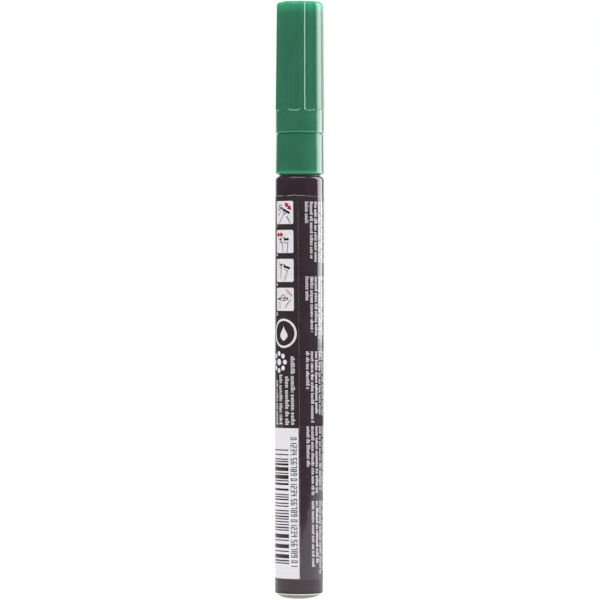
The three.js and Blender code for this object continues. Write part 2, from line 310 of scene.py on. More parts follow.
def skin(mesh, rings, angles, loop=False, paint=lambda height: 0, cut=None):
    """Faces through rings of (radius, height) at the angles. cut(ring, spoke) comes off the radius."""
    rows = []
    for ring, (radius, height) in enumerate(rings):
        if radius == 0:
            rows.append([mesh.verts.new((0, 0, height))])
            continue
        row = []
        for spoke, angle in enumerate(angles):
            out = radius - cut(ring, spoke) if cut else radius
            row.append(mesh.verts.new((out * math.sin(angle), -out * math.cos(angle), height)))
        rows.append(row)
    following = rows[1:] + rows[:1] if loop else rows[1:]
    for lower, upper in zip(rows, following):
        for spoke in range(len(angles)):
            beside = (spoke + 1) % len(angles)
            corners = (
                lower[spoke % len(lower)],
                lower[beside % len(lower)],
                upper[beside % len(upper)],
                upper[spoke % len(upper)],
            )
            face = mesh.faces.new(list(dict.fromkeys(corners)))
            face.material_index = paint(face.calc_center_median().z)


def turned(name, outline, *looks, sides=ROUND, loop=False, paint=lambda height: 0):
    """A piece turned from an outline of (radius, height) points."""
    mesh = bmesh.new()
    skin(mesh, outline, spread(0, FULL_TURN, sides), loop, paint)
    return piece_from(name, mesh, *looks)


def dress(piece, body, slot, *nodes):
    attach(piece, body)
    if nodes:
        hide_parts(*nodes)


class Nodes:
    """A node tree being built."""

    def __init__(self, tree):
        self.tree = tree

    def node(self, kind, **inputs):
        node = self.tree.nodes.new(kind)
        for socket, value in inputs.items():
            self.feed(node.inputs[socket.replace("_", " ")], value)
        return node

    def feed(self, socket, value):
        """Joins a socket to another one, or sets it. Colours are given without their alpha."""
        if isinstance(value, bpy.types.NodeSocket):
            self.tree.links.new(value, socket)
        elif socket.type == "RGBA":
            socket.default_value = (*value, 1.0)
        else:
            socket.default_value = value

    def ranged(self, value, low, high, from_low, from_high):
        """A value brought from one range to another, smoothly and without going past it."""
        ends = {"From_Min": from_low, "From_Max": from_high, "To_Min": low, "To_Max": high}
        node = self.node("ShaderNodeMapRange", Value=value, **ends)
        node.interpolation_type = "SMOOTHSTEP"
        return node.outputs["Result"]

    def rise(self, value, start, end):
        """0 up to the start and 1 beyond the end."""
        return self.ranged(value, 0.0, 1.0, start, end)

    def fall(self, value, start, end):
        """1 up to the start and 0 beyond the end."""
        return self.ranged(value, 1.0, 0.0, start, end)

    def peak(self, value, middle, below, above):
        """One at the middle, falling to zero within the distances below and above it."""
        rise = self.rise(value, middle - below, middle)
        fall = self.fall(value, middle, middle + above)
        return self.maths("MULTIPLY", rise, fall)

    def maths(self, operation, *values):
        node = self.tree.nodes.new("ShaderNodeMath")
        node.operation = operation
        for socket, value in zip(node.inputs, values):
            self.feed(socket, value)
        return node.outputs["Value"]

    def chain(self, operation, first, *others):
        for other in others:
            first = self.maths(operation, first, other)
        return first

    def blend(self, factor, first, second):
        """A colour between two colours or colour sockets."""
        node = self.node("ShaderNodeMix", Factor=factor)
        node.data_type = "RGBA"
        sockets = [socket for socket in node.inputs if socket.type == "RGBA"]
        for socket, colour in zip(sockets, (first, second)):
            self.feed(socket, colour)
        return next(socket for socket in node.outputs if socket.type == "RGBA")

    def choose(self, flag, value, otherwise):
        """The value where the flag is 1, or else the other one."""
        return self.node("ShaderNodeMix", Factor=flag, A=otherwise, B=value).outputs["Result"]


class Look(Nodes):
    """A material being built. A pattern is a socket, all that noise takes, or just its size."""

    def __init__(self, name, **values):
        self.material = bpy.data.materials.new(name)
        self.material.use_nodes = True
        super().__init__(self.material.node_tree)
        self.shader = self.tree.nodes["Principled BSDF"]
        for socket, value in values.items():
            self.put(socket.replace("_", " "), value)
        self.place = self.node("ShaderNodeTexCoord").outputs["Object"]

    def along(self, axis):
        """How far along X, Y or Z a place on the surface lies."""
        return self.node("ShaderNodeSeparateXYZ", Vector=self.place).outputs[axis]

    def noise(self, size, detail=3.0, stretch=(1, 1, 1)):
        """A noise with its size in millimetres."""
        place = self.node("ShaderNodeMapping", Vector=self.place, Scale=stretch).outputs["Vector"]
        noise = self.node("ShaderNodeTexNoise", Vector=place, Scale=1 / (size * MM), Detail=detail)
        return noise.outputs["Fac"]

    def wander(self, pattern, low, high):
        """A value that goes between two as the pattern does."""
        return self.ranged(self.socket(pattern), low, high, *NOISE_RANGE)

    def socket(self, pattern):
        if isinstance(pattern, bpy.types.NodeSocket):
            return pattern
        return self.noise(*pattern) if isinstance(pattern, tuple) else self.noise(pattern)

    def mottle(self, pattern, first, second):
        """A colour that goes between two as the pattern does."""
        return self.blend(self.wander(pattern, 0.0, 1.0), first, second)

    def put(self, name, value):
        self.feed(self.shader.inputs[name], value)

    def colour(self, value):
        self.put("Base Color", value)

    def rough(self, pattern, low, high):
        self.put("Roughness", self.wander(pattern, low, high))

    def bumps(self, *layers):
        """Layers of (pattern, depth in millimetres), each on top of the one before."""
        normal = None
        for pattern, depth in layers:
            node = self.node("ShaderNodeBump", Height=self.socket(pattern), Distance=depth * MM)
            if normal:
                self.feed(node.inputs["Normal"], normal)
            normal = node.outputs["Normal"]
        self.put("Normal", normal)


# Materials


def translucent(weight, radius, scale):
    """Shader values of a plastic that light goes some way into."""
    return {"Subsurface_Weight": weight, "Subsurface_Radius": radius, "Subsurface_Scale": scale}


def plain_look(name, mottle, rough, *bumps, **values):
    """A look that is told by what its mottle, its roughness and its bumps take."""
    look = Look(name, **values)
    look.colour(look.mottle(*mottle))
    look.rough(*rough)
    look.bumps(*bumps)
    return look


def painted_glint_mask(look, height):
    """Where a painted highlight goes: 1 on the sloping foot of a flute, a little on its walls, 0
    elsewhere.
    """
    x, y = look.along("X"), look.along("Y")
    radius = look.maths("SQRT", look.maths("MULTIPLY_ADD", y, y, look.maths("MULTIPLY", x, x)))
    land = look.ranged(height, LAND_FOOT_RADIUS, LAND_TOP_RADIUS, BAND_TOP, cap_top)
    depth = look.maths("SUBTRACT", land, radius)
    begun = look.rise(depth, 0.04 * MM, 0.09 * MM)
    off_floor = look.fall(depth, FLUTE_DEPTH - 0.08 * MM, FLUTE_DEPTH - 0.03 * MM)
    foot_end = BAND_TOP + FLUTE_END + FLUTE_CORNER
    low = look.ranged(height, 1.0, 0.12, foot_end, foot_end + 0.3 * MM)
    above_band = look.rise(height, BAND_TOP - 0.02 * MM, BAND_TOP + 0.04 * MM)
    below_edge = look.fall(height, cap_top - 1.6 * MM, cap_top - 1.1 * MM)
    return look.chain("MULTIPLY", begun, off_floor, low, above_band, below_edge)


def green_plastic():
    look = Look("green plastic", IOR=1.5, **translucent(0.25, (0.5, 1.0, 0.8), 1.2 * MM))
    body = look.mottle(6, (0.033, 0.181, 0.104), (0.037, 0.199, 0.115))
    height = look.along("Z")
    # Painted light: lighter green at the cap's foot, at the band's foot and over the top, standing in for
    # light glowing through the plastic at its edges
    foot = look.peak(height, cap_foot + 0.31 * MM, 0.24 * MM, 0.95 * MM)
    band = look.peak(height, BAND_FOOT + 0.12 * MM, 0.12 * MM, 0.4 * MM)
    crown = look.peak(height, cap_top - 0.6 * MM, 2.9 * MM, 0.55 * MM)
    tail = look.ranged(height, 0.0, 0.16, cap_top - 8 * MM, cap_top - 1.5 * MM)
    painted_glow = look.chain("MAXIMUM", foot, band, crown, tail)
    body = look.blend(painted_glow, body, (0.050, 0.400, 0.200))
    # Painted highlight: the flutes' sloping feet, and a little their walls, are lighter green, as glints
    look.colour(look.blend(painted_glint_mask(look, height), body, (0.16, 0.42, 0.30)))
    edge = look.peak(height, cap_top - 0.25 * MM, 0.5 * MM, 0.22 * MM)
    look.put("Specular IOR Level", look.maths("MULTIPLY_ADD", edge, -0.45, 0.5))
    look.rough(0.5, 0.11, 0.17)
    look.bumps(((5, 1.0, (1, 1, 0.4)), 0.01), (0.25, 0.0012))
    return look


def black_lacquer():
    look = Look("black lacquer", IOR=1.5)
    body = look.mottle(3, (0.036, 0.0210, 0.0285), (0.041, 0.0255, 0.0335))
    end = look.fall(look.along("Z"), LACQUER_FOOT + 0.1 * MM, LACQUER_FOOT + 0.3 * MM)
    look.colour(look.blend(end, body, (0.012, 0.008, 0.007)))
    shine = look.wander(0.4, 0.05, 0.10)
    look.put("Roughness", look.maths("MULTIPLY_ADD", end, 0.5, shine))
    look.bumps(((4, 1.0, (1, 1, 0.4)), 0.02))
    return look


def bare_metal():
    """Satin metal, paler at the flat that it stands on, with a painted highlight as a near-white band at
    the lacquer's edge.
    """
    look = Look("bare aluminium", Metallic=1.0)
    dome = look.mottle(1.2, (0.50, 0.50, 0.50), (0.58, 0.58, 0.57))
    low = look.fall(look.along("Z"), 0.2 * MM, 0.55 * MM)
    dome = look.blend(low, dome, (0.86, 0.86, 0.86))
    # Painted highlight: the band just below the lacquer's edge is near white
    rim = look.rise(look.along("Z"), LACQUER_FOOT - 0.38 * MM, LACQUER_FOOT - 0.23 * MM)
    look.colour(look.blend(rim, dome, (0.97, 0.95, 0.91)))
    look.rough(0.3, 0.22, 0.3)
    look.bumps(((0.3, 2.0, (1, 1, 6)), 0.0015))
    return look


def label_film():
    """Glossy film, hazy below a ragged edge, where it is also lighter with a painted reflection."""
    look = Look("label film", IOR=1.5)
    body = look.mottle(2.5, (0.040, 0.0255, 0.0315), (0.046, 0.0305, 0.0370))
    edge = look.maths("MULTIPLY_ADD", look.along("X"), HAZE_AND_REFLECTION_SLOPE, HAZE_AND_REFLECTION_EDGE)
    edge = look.maths("MULTIPLY_ADD", look.noise(2.2, 2.0), HAZE_AND_REFLECTION_RAGGED, edge)
    # Painted reflection: below the ragged edge the film is lighter, as well as rougher
    haze_and_painted_reflection = look.rise(look.maths("SUBTRACT", edge, look.along("Z")), 0.0, 0.6 * MM)
    look.colour(look.blend(haze_and_painted_reflection, body, (0.074, 0.060, 0.071)))
    gloss = look.wander(0.6, 0.05, 0.11)
    look.put("Roughness", look.maths("MULTIPLY_ADD", haze_and_painted_reflection, 0.12, gloss))
    look.bumps((FILM_WAVES, 0.012), (0.3, 0.0012))
    return look


def film_rim():
    """The film's cut edges, dark and pale in turns, and pale all along where the top edge stands up. The
    pale is painted highlight, strongest on the top edge.
    """
    look = Look("label film rim", IOR=1.5)
    grain = look.wander(0.8, 0.0, 1.0)
    top = look.rise(look.along("Z"), label_top - 0.2 * MM, label_top + 0.08 * MM)
    raised_glint = look.rise(look.along("Z"), label_top + 0.08 * MM, label_top + 0.12 * MM)
    dark = look.blend(top, (0.09, 0.072, 0.08), (0.05, 0.035, 0.04))
    pale = look.blend(top, (0.30, 0.265, 0.28), (0.72, 0.69, 0.71))
    # Painted highlight: the pale turns, much paler on the top edge, and the pale where it stands up,
    # stand in for the edges catching light
    look.colour(look.blend(look.maths("MAXIMUM", grain, raised_glint), dark, pale))
    look.rough(0.6, 0.2, 0.3)
    return look


def ink(name, colour):
    mottle = (0.35, [part * INK_WEAR for part in colour], colour)
    return plain_look(name, mottle, (0.6, 0.16, 0.26), (FILM_WAVES, 0.012), IOR=1.5)


def black_plastic():
    look = Look("black plastic", IOR=1.5)
    body = look.mottle(2, (0.012, 0.012, 0.013), (0.018, 0.018, 0.019))
    # Painted highlight: a pale grey band on the collar just above the barrel's top, standing in for the
    # light it catches in the gap under the cap
    collar_painted_highlight = look.peak(look.along("Z"), barrel_top + 0.15 * MM, 0.2 * MM, 0.25 * MM)
    look.colour(look.blend(collar_painted_highlight, body, (0.22, 0.21, 0.20)))
    look.rough(0.4, 0.28, 0.4)
    look.bumps((0.2, 0.003))
    return look


def seal_rubber():
    mottle = (1, (0.014, 0.014, 0.015), (0.026, 0.026, 0.027))
    return plain_look("seal rubber", mottle, (0.3, 0.55, 0.75), (0.12, 0.004), IOR=1.45)


def natural_plastic():
    mottle = (3, (0.72, 0.71, 0.66), (0.8, 0.79, 0.74))
    depth = translucent(0.3, (1.0, 0.95, 0.85), 1.0 * MM)
    return plain_look("natural plastic", mottle, (0.4, 0.3, 0.42), (0.2, 0.002), IOR=1.5, **depth)


def seal_plastic():
    mottle = (3, (0.74, 0.78, 0.74), (0.82, 0.85, 0.82))
    depth = translucent(0.4, (0.9, 1.0, 0.9), 0.8 * MM)
    return plain_look("seal plastic", mottle, (0.4, 0.22, 0.32), (0.25, 0.0015), IOR=1.5, **depth)


def felt():
    fibres = (0.12, 4.0, (1, 1, 0.3))
    mottle = (fibres, (0.55, 0.52, 0.44), (0.74, 0.71, 0.63))
    return plain_look("felt", mottle, (fibres, 0.85, 1.0), (fibres, 0.05), Sheen_Weight=0.3)


def nib_fibre():
    """Bonded fibre, wet with ink towards its tip."""
    look = Look("nib fibre", Sheen_Weight=0.15)
    fibres = look.noise(0.09, 4.0, (1, 1, 0.06))
    clean = look.mottle(fibres, (0.70, 0.67, 0.58), (0.86, 0.84, 0.76))
    wetness = look.ranged(look.along("Z"), 0.0, 0.75, nib_top - NIB_TAPER, nib_top)
    look.colour(look.blend(wetness, clean, (0.05, 0.24, 0.14)))
    look.rough(fibres, 0.7, 0.9)
    look.bumps((fibres, 0.03))
    return look


def spring_steel():
    mottle = (0.1, (0.5, 0.5, 0.52), (0.6, 0.6, 0.62))
    return plain_look("spring steel", mottle, (0.1, 0.2, 0.32), (0.1, 0.002), Metallic=1.0)


def ball_steel():
    scuffs = (0.5, 4.0)
    mottle = (scuffs, (0.56, 0.56, 0.58), (0.66, 0.66, 0.68))
    return plain_look("ball steel", mottle, (scuffs, 0.08, 0.2), (0.2, 0.001), Metallic=1.0)


NATURAL = natural_plastic()

# Cap


def flute_cut(offset, height):
    """A flute's depth at an angle from its middle. It runs out into the band, later near its walls."""
    across = 1 - slope((abs(offset) - FLUTE_FLOOR) / (FLUTE_MOUTH - FLUTE_FLOOR))
    corner = FLUTE_CORNER * min(abs(offset) / FLUTE_FLOOR, 1.0) ** FLUTE_CORNER_POWER
    end = slope((height - BAND_TOP - corner) / FLUTE_END)
    return FLUTE_DEPTH * across * end


def flute_spokes():
    """The spokes round the cap as (angle, angle from the middle of the flute there)."""
    pitch = FULL_TURN / FLUTE_PAIRS
    spokes = []
    for pair in range(FLUTE_PAIRS):
        for side, gap in ((-1, FLUTE_PAIR), (1, pitch - FLUTE_PAIR)):
            middle = FLUTE_PAIR_FIRST + pair * pitch + side * FLUTE_PAIR / 2
            offsets = (
                spread(-FLUTE_MOUTH, -FLUTE_FLOOR, FLUTE_WALL_SPOKES)
                + spread(-FLUTE_FLOOR, FLUTE_FLOOR, FLUTE_FLOOR_SPOKES)
                + spread(FLUTE_FLOOR, FLUTE_MOUTH, FLUTE_WALL_SPOKES)
                + spread(FLUTE_MOUTH, gap - FLUTE_MOUTH, LAND_SPOKES)
            )
            spokes += [(middle + offset, offset) for offset in offsets]
    return spokes


def cap_shell():
    plain = rounded([
        (0, CAP_CEILING),
        (SEAL_BORE, CAP_CEILING, 0.2),
        (SEAL_BORE, CAP_STEP + CAP_BORE - SEAL_BORE, 0.15),
        (CAP_BORE, CAP_STEP, 0.15),
        (CAP_BORE, cap_foot + CAP_MOUTH_DEPTH, 0.3),
        (CAP_MOUTH_RADIUS, cap_foot),
        (CAP_FOOT_FACE, cap_foot, 0.03),
        (CAP_FOOT_RADIUS, cap_foot + CAP_FOOT_CHAMFER, 0.14),
        (CAP_WAIST_RADIUS, UNDERCUT_FOOT, 0.2),
        (CAP_WAIST_RADIUS - UNDERCUT_DEPTH, UNDERCUT_FOOT, 0.04),
        (CAP_WAIST_RADIUS - UNDERCUT_DEPTH, BAND_FOOT, 0.04),
        (BAND_RADIUS, BAND_FOOT, 0.09),
        (BAND_RADIUS, BAND_TOP),
    ])
    run_out = FLUTE_END + FLUTE_CORNER
    ends = []
    for share in span(0, 1, FLUTE_END_RINGS)[1:]:
        step = LAND_STEP * smooth((share * run_out - FLUTE_END) / LAND_STEP_HEIGHT)
        ends.append((BAND_RADIUS + step, BAND_TOP + run_out * share))
    edge = arc(LAND_TOP_RADIUS - CAP_EDGE_RADIUS, cap_top - CAP_EDGE_RADIUS, CAP_EDGE_RADIUS, 0, 90)
    crown = [(LAND_TOP_RADIUS * CROWN_RING, cap_top), (0, cap_top)]
    rings = plain + ends + edge + crown
    fluted = range(len(plain), len(plain + ends + edge))
    spokes = flute_spokes()

    def cut(ring, spoke):
        return flute_cut(spokes[spoke][1], rings[ring][1]) if ring in fluted else 0

    mesh = bmesh.new()
    skin(mesh, rings, [angle for angle, _ in spokes], cut=cut)
    dress(piece_from("fluted_cap", mesh, green_plastic()), "cap", "green_plastic", "cap_shell")


def cap_seal():
    edge = 0.12
    outline = rounded([
        (0, SEAL_CEILING),
        (SEAL_INNER_RADIUS, SEAL_CEILING, 0.3),
        (SEAL_INNER_RADIUS, seal_foot, edge),
        (seal_radius, seal_foot, edge),
        (seal_radius, seal_top, 2 * edge),
        (0, seal_top),
    ])
    dress(turned("cap_seal", outline, seal_plastic()), "cap", "seal_plastic", "cap_inner_seal")


# Barrel


def barrel():
    inwards = (barrel_radius - BARREL_WALL) / barrel_radius
    knee = barrel_radius - BASE_KNEE_INSET
    shoulder_foot = barrel_top - SHOULDER_RADIUS
    shoulder_centre = barrel_radius - SHOULDER_RADIUS
    outside = bend((BASE_FLAT_RADIUS, 0), (knee, BASE_KNEE_HEIGHT), (barrel_radius, BASE_HEIGHT))
    shoulder = arc(shoulder_centre, shoulder_foot, SHOULDER_RADIUS, 0, 90)
    lip = rounded([
        shoulder[-1],
        (LIP_RADIUS, barrel_top, 0.075),
        (LIP_RADIUS, barrel_top - BARREL_WALL, 0.075),
        (shoulder_centre, barrel_top - BARREL_WALL),
    ])
    inner_shoulder = arc(shoulder_centre, shoulder_foot, SHOULDER_RADIUS - BARREL_WALL, 90, 0)
    inside = bend(
        (barrel_radius * inwards, BASE_HEIGHT + BARREL_WALL),
        (knee * inwards, BASE_KNEE_HEIGHT + BARREL_WALL),
        (BASE_FLAT_RADIUS * inwards, BARREL_WALL),
    )
    lacquer_edge = [(barrel_radius, BASE_HEIGHT + 0.4 * MM)]
    walls = outside + lacquer_edge + shoulder + lip[1:] + inner_shoulder[1:] + inside
    piece = turned(
        "drawn_barrel",
        [(0, 0)] + walls + [(0, BARREL_WALL)],
        black_lacquer(),
        bare_metal(),
        paint=lambda height: 1 if height < LACQUER_FOOT else 0,
    )
    dress(piece, "barrel", "lacquered_barrel", "barrel_tube")


def front_section():
    chamfer = spigot_radius - COLLAR_RADIUS
    pitch = (SPIGOT_TOP - spigot_foot) / SPIGOT_RIBS
    groove = spigot_radius - SPIGOT_GROOVE
    corners = [(COUNTERBORE_RADIUS, spigot_foot, 0.1), (groove, spigot_foot, 0.1)]
    for rib in range(SPIGOT_RIBS):
        foot = spigot_foot + rib * pitch + pitch / 4
        top = SPIGOT_TOP if rib == SPIGOT_RIBS - 1 else foot + pitch / 2
        corners += [(groove, foot), (spigot_radius, foot + SPIGOT_GROOVE), (spigot_radius, top)]
        if top < SPIGOT_TOP:
            corners.append((groove, top))
    step = 0.15 * MM
    corners += [
        (COLLAR_RADIUS, SPIGOT_TOP + chamfer),
        (COLLAR_RADIUS, COLLAR_TOP, 0.05),
        (NECK_RADIUS, COLLAR_TOP + step, 0.05),
        (NECK_RADIUS, SNAP_RING_HEIGHT - SNAP_RING_HALF - step, 0.08),
        (COLLAR_RADIUS, SNAP_RING_HEIGHT - SNAP_RING_HALF, 0.12),
        (COLLAR_RADIUS, SNAP_RING_HEIGHT + SNAP_RING_HALF, 0.12),
        (NECK_RADIUS, SNAP_RING_HEIGHT + SNAP_RING_HALF + step, 0.08),
        (NECK_RADIUS, SHOULDER_HEIGHT - 0.6 * MM, 0.2),
        (seal_radius + 0.05 * MM, SHOULDER_HEIGHT, 0.1),
        (CONE_ROOT_RADIUS, SHOULDER_HEIGHT, 0.15),
        (CONE_ROOT_RADIUS, SHOULDER_HEIGHT + 0.5 * MM, 0.3),
        (CONE_TIP_RADIUS, cone_top - 0.25 * MM, 0.15),
        (CONE_TIP_RADIUS - 0.25 * MM, cone_top, 0.1),
        (NIB_BORE, cone_top, 0.06),
        (NIB_BORE, CHAMBER_TOP),
        (CHAMBER_RADIUS, CHAMBER_TOP, 0.2),
        (CHAMBER_RADIUS, SEAT_STEP, 0.1),
        (COUNTERBORE_RADIUS, SEAT_STEP, 0.2),
    ]
    piece = turned("front_section", rounded(corners, closed=True), black_plastic(), loop=True)
    dress(piece, "barrel", "black_plastic", "mouthpiece")


# Valve, nib and ball


def nib():
    shoulder = (nib_radius, nib_top - NIB_TAPER)
    knee = (nib_radius, nib_top - NIB_TAPER / 2)
    taper = bend(shoulder, knee, (NIB_TIP_RADIUS, nib_top - NIB_TIP_RADIUS / 2))
    crown = bend(taper[-1], (NIB_TIP_RADIUS / 2, nib_top), (0, nib_top), BEAD)
    foot = rounded([(0, nib_foot), (nib_radius, nib_foot, 0.15), taper[0]])
    piece = turned("fibre_nib", foot + taper[1:] + crown[1:], nib_fibre(), sides=SMALL)
    dress(piece, "valve_stem", "nib_fibre", "nib")


def felt_buffer():
    outline = washer(BUFFER_BORE, buffer_radius, buffer_foot, buffer_top, 0.15)
    dress(turned("felt_buffer", outline, felt(), sides=SMALL, loop=True), "barrel", "felt", "ink_buffer")


def seat_ring():
    outline = washer(SEAT_HOLE, seat_radius, seat_foot, seat_top, 0.2)
    piece = turned("seat_ring", outline, seal_rubber(), sides=SMALL, loop=True)
    dress(piece, "barrel", "seal_rubber", "valve_seat")


def plunger():
    edge = 0.1
    outline = rounded([
        (0, stem_foot),
        (STEM_RADIUS, stem_foot, 2 * edge),
        (STEM_RADIUS, FLANGE_FOOT, edge),
        (flange_radius, FLANGE_FOOT, edge),
        (flange_radius, seat_foot, 3 * edge),
        (PIN_RADIUS, seat_foot, edge),
        (PIN_RADIUS, pin_top, edge),
        (0, pin_top),
    ])
    piece = turned("plunger", outline, NATURAL, sides=SMALL)
    dress(piece, "valve_stem", "natural_plastic", "valve_plunger")


def coil_spring():
    foot = CAGE_FLOOR_TOP + SPRING_GAP + SPRING_WIRE
    top = FLANGE_FOOT - SPRING_GAP - SPRING_WIRE
    steps = SPRING_TURNS * SPRING_STEPS
    mesh = bmesh.new()
    rows = []
    for step in range(steps + 1):
        angle = step / steps * SPRING_TURNS * FULL_TURN
        height = foot + (top - foot) * step / steps
        row = []
        for around in spread(0, FULL_TURN, SPRING_SIDES):
            out = SPRING_RADIUS + SPRING_WIRE * math.cos(around)
            row.append(mesh.verts.new((
                out * math.cos(angle),
                out * math.sin(angle),
                height + SPRING_WIRE * math.sin(around),
            )))
        rows.append(row)
    for lower, upper in zip(rows, rows[1:]):
        for side in range(len(lower)):
            mesh.faces.new((lower[side], lower[side - 1], upper[side - 1], upper[side]))
    mesh.faces.new(rows[0])
    mesh.faces.new(rows[-1])
    piece = piece_from("coil_spring", mesh, spring_steel())
    dress(piece, "barrel", "spring_steel", "valve_spring")
    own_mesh(piece)


def mixing_ball():
    middle = (ball_foot + ball_top) / 2
    outline = arc(0, middle, ball_radius, -90, 90, SMALL // 2)
    outline[0] = (0, ball_foot)
    outline[-1] = (0, ball_top)
    dress(turned("steel_ball", outline, ball_steel(), sides=SMALL), "ball", "ball_steel", "mixing_ball")


def valve_cage():
    """The slotted cage keeps its CAD shape."""
    node = frame["nodes"]["valve_housing"]
    node.data.materials.clear()
    node.data.materials.append(NATURAL.material)


# Label: places on it are given across, from the seam to the right, and down, from its top edge


def film_inside(across):
    """Radius of the film's inside. It climbs on to its own start as it comes round to the seam."""
    climb = (across - (film_width - FILM_OVERLAP - FILM_RAMP)) / FILM_RAMP
    return FILM_BASE + (FILM + FILM_AIR) * smooth(climb)


def wrapped(across, down, radius):
    """The point at a place on the label and at a distance from the barrel's axis."""
    angle = (SEAM_START + across + SLANT * down) / label_radius
    return (radius * math.sin(angle), -radius * math.cos(angle), label_top - down)


def rim_rise(across):
    """How far the film's top edge stands up near the seam, where the film was wrapped out of true."""
    if across < film_width / 2:
        return RIM_RISE * (1 - smooth((across - RIM_RISE_RIGHT) / RIM_FALL_RIGHT))
    slow = RIM_SLOW * smooth((across - film_width / 2) / (film_width / 4))
    steep = (1 - RIM_SLOW) * smooth((across - film_width + RIM_STEEP_LEFT) / RIM_STEEP_LENGTH)
    peak = max(0, 1 - abs(across - film_width + RIM_PEAK_LEFT) / RIM_PEAK_HALF)
    return RIM_RISE * (slow + steep) + RIM_PEAK * peak


def vertex_pair(mesh, across, down, *radii):
    """A slab's foot and top vertices at a place on the label."""
    return [mesh.verts.new(wrapped(across, down, radius)) for radius in radii]


def slab(mesh, lines, closed=False):
    """Faces of a thin slab through lines of vertex pairs: its top faces line by line, and its edges."""
    tops, edges = [], []
    following = lines[1:] + lines[:1] if closed else lines[1:]
    for line, after in zip(lines, following):
        cells = list(zip(line, line[1:], after[1:], after))
        for cell in cells:
            mesh.faces.new([foot for foot, _ in cell])
        tops.append([mesh.faces.new([top for _, top in cell]) for cell in cells])
        for place in (0, -1):
            edges.append(mesh.faces.new((*line[place], *reversed(after[place]))))
    if not closed:
        for line in (lines[0], lines[-1]):
            for first, second in zip(line, line[1:]):
                edges.append(mesh.faces.new((*first, *reversed(second))))
    return tops, edges


def film():
    start, end = -FILM_OVERLAP, film_width
    ramp = end - FILM_OVERLAP - FILM_RAMP
    stations = (
        spread(start, ramp, FILM_COLUMNS)
        + spread(ramp, ramp + FILM_RAMP, RAMP_COLUMNS)
        + spread(ramp + FILM_RAMP, end - FILM_RIM, RAMP_COLUMNS)
        + [end - FILM_RIM, end]
    )
    downs = [0, FILM_RIM] + spread(FILM_EASE, film_length - FILM_RIM, FILM_ROWS)
    downs += [film_length - FILM_RIM, film_length]
    crinkle = random.Random(5)
    wander = [crinkle.uniform(-1, 1) * FILM_WANDER for _ in stations]
    mesh = bmesh.new()
    lines = []
    for across, stray in zip(stations, wander):
        line = []
        for down in downs:
            here = min(across, end - FILM_CORNER) if down < FILM_CORNER else across
            sag = (stray - rim_rise(across)) * (1 - down / FILM_EASE) if down < FILM_EASE else 0
            inside = film_inside(here)
            line.append(vertex_pair(mesh, here, down + sag, inside, inside + FILM))
        lines.append(line)
    tops, rim = slab(mesh, lines)
    for face in rim + tops[-1] + [faces[0] for faces in tops]:
        face.material_index = 1
    piece = piece_from("label_film", mesh, label_film(), film_rim())
    dress(piece, "barrel", "label_film", "barrel_label")


def circle(across, down, radius, steps):
    """Places round a circle on the label."""
    angles = spread(0, FULL_TURN, steps)
    return [(across + radius * math.cos(angle), down + radius * math.sin(angle)) for angle in angles]


class Ink:
    """One colour of print: thin closed slabs on the film."""

    def __init__(self, name, colour, layer=0):
        self.name = name
        self.look = ink(name.replace("_", " "), colour)
        self.foot = FILM + layer * INK - INK_BITE
        self.top = FILM + (layer + 1) * INK
        self.mesh = bmesh.new()

    def stroke(self, line, widths, closed=False):
        """A slab along a line of (across, down) points, as wide at each as widths says."""
        if isinstance(widths, float):
            widths = [widths] * len(line)
        line, widths = self.follow(line, widths)
        columns = max(1, math.ceil(max(widths) / PRINT_STEP))
        rows = []
        for index, (point, width) in enumerate(zip(line, widths)):
            before = line[index - 1] if index or closed else point
            after = line[(index + 1) % len(line)] if index + 1 < len(line) or closed else point
            along = (Vector(after) - Vector(before)).normalized()
            side = Vector((-along.y, along.x)) * width / 2
            row = []
            for column in range(columns + 1):
                across, down = Vector(point) + side * (2 * column / columns - 1)
                inside = film_inside(across % film_width)
                row.append(vertex_pair(self.mesh, across, down, inside + self.foot, inside + self.top))
            rows.append(row)
        slab(self.mesh, rows, closed)

    def follow(self, line, widths):
        """The same line and widths, with more points where it runs round the barrel."""
        places, wides = [line[0]], [widths[0]]
        for (start, first), (end, last) in zip(zip(line, widths), zip(line[1:], widths[1:])):
            steps = max(1, math.ceil(abs(end[0] - start[0]) / PRINT_STEP))
            for share in span(0, 1, steps)[1:]:
                places.append(tuple(Vector(start).lerp(Vector(end), share)))
                wides.append(first + (last - first) * share)
        return places, wides

    def disc(self, across, down, radius):
        places = [across + radius * math.cos(angle) for angle in span(math.pi, 0, DISC_STEPS)]
        halves = [math.sqrt(max(radius ** 2 - (place - across) ** 2, 0)) for place in places]
        self.stroke([(place, down) for place in places], [max(2 * half, INK_POINT) for half in halves])

    def ring(self, across, down, radius, width):
        self.stroke(circle(across, down, radius, CIRCLE_STEPS), width, closed=True)

    def panel(self, left, right, top, foot, corner):
        """An upright rectangle with rounded corners."""
        ends = [corner * (1 - math.cos(angle)) for angle in spread(0, math.pi / 2, BEAD)]
        steps = max(1, round((foot - top) / PANEL_STEP))
        downs = [top + end for end in ends] + spread(top + corner, foot - corner, steps) + [foot - corner]
        downs += [foot - end for end in reversed(ends)]
        line = [((left + right) / 2, down) for down in downs]
        widths = []
        for down in downs:
            rise = max(corner - (down - top), corner - (foot - down), 0)
            widths.append(right - left - 2 * (corner - math.sqrt(max(corner ** 2 - rise ** 2, 0))))
        self.stroke(line, widths)

    def finish(self):
        dress(piece_from(self.name, self.mesh, self.look), "barrel", "label_film")


WHITE = Ink("white_print", (0.95, 0.92, 0.96))
GREEN = Ink("green_print", (0.036, 0.175, 0.105))
BLACK = Ink("black_print", (0.014, 0.010, 0.012), layer=1)
RED = Ink("red_print", (0.50, 0.02, 0.04), layer=1)
TAN = Ink("tan_print", (0.50, 0.36, 0.12), layer=1)

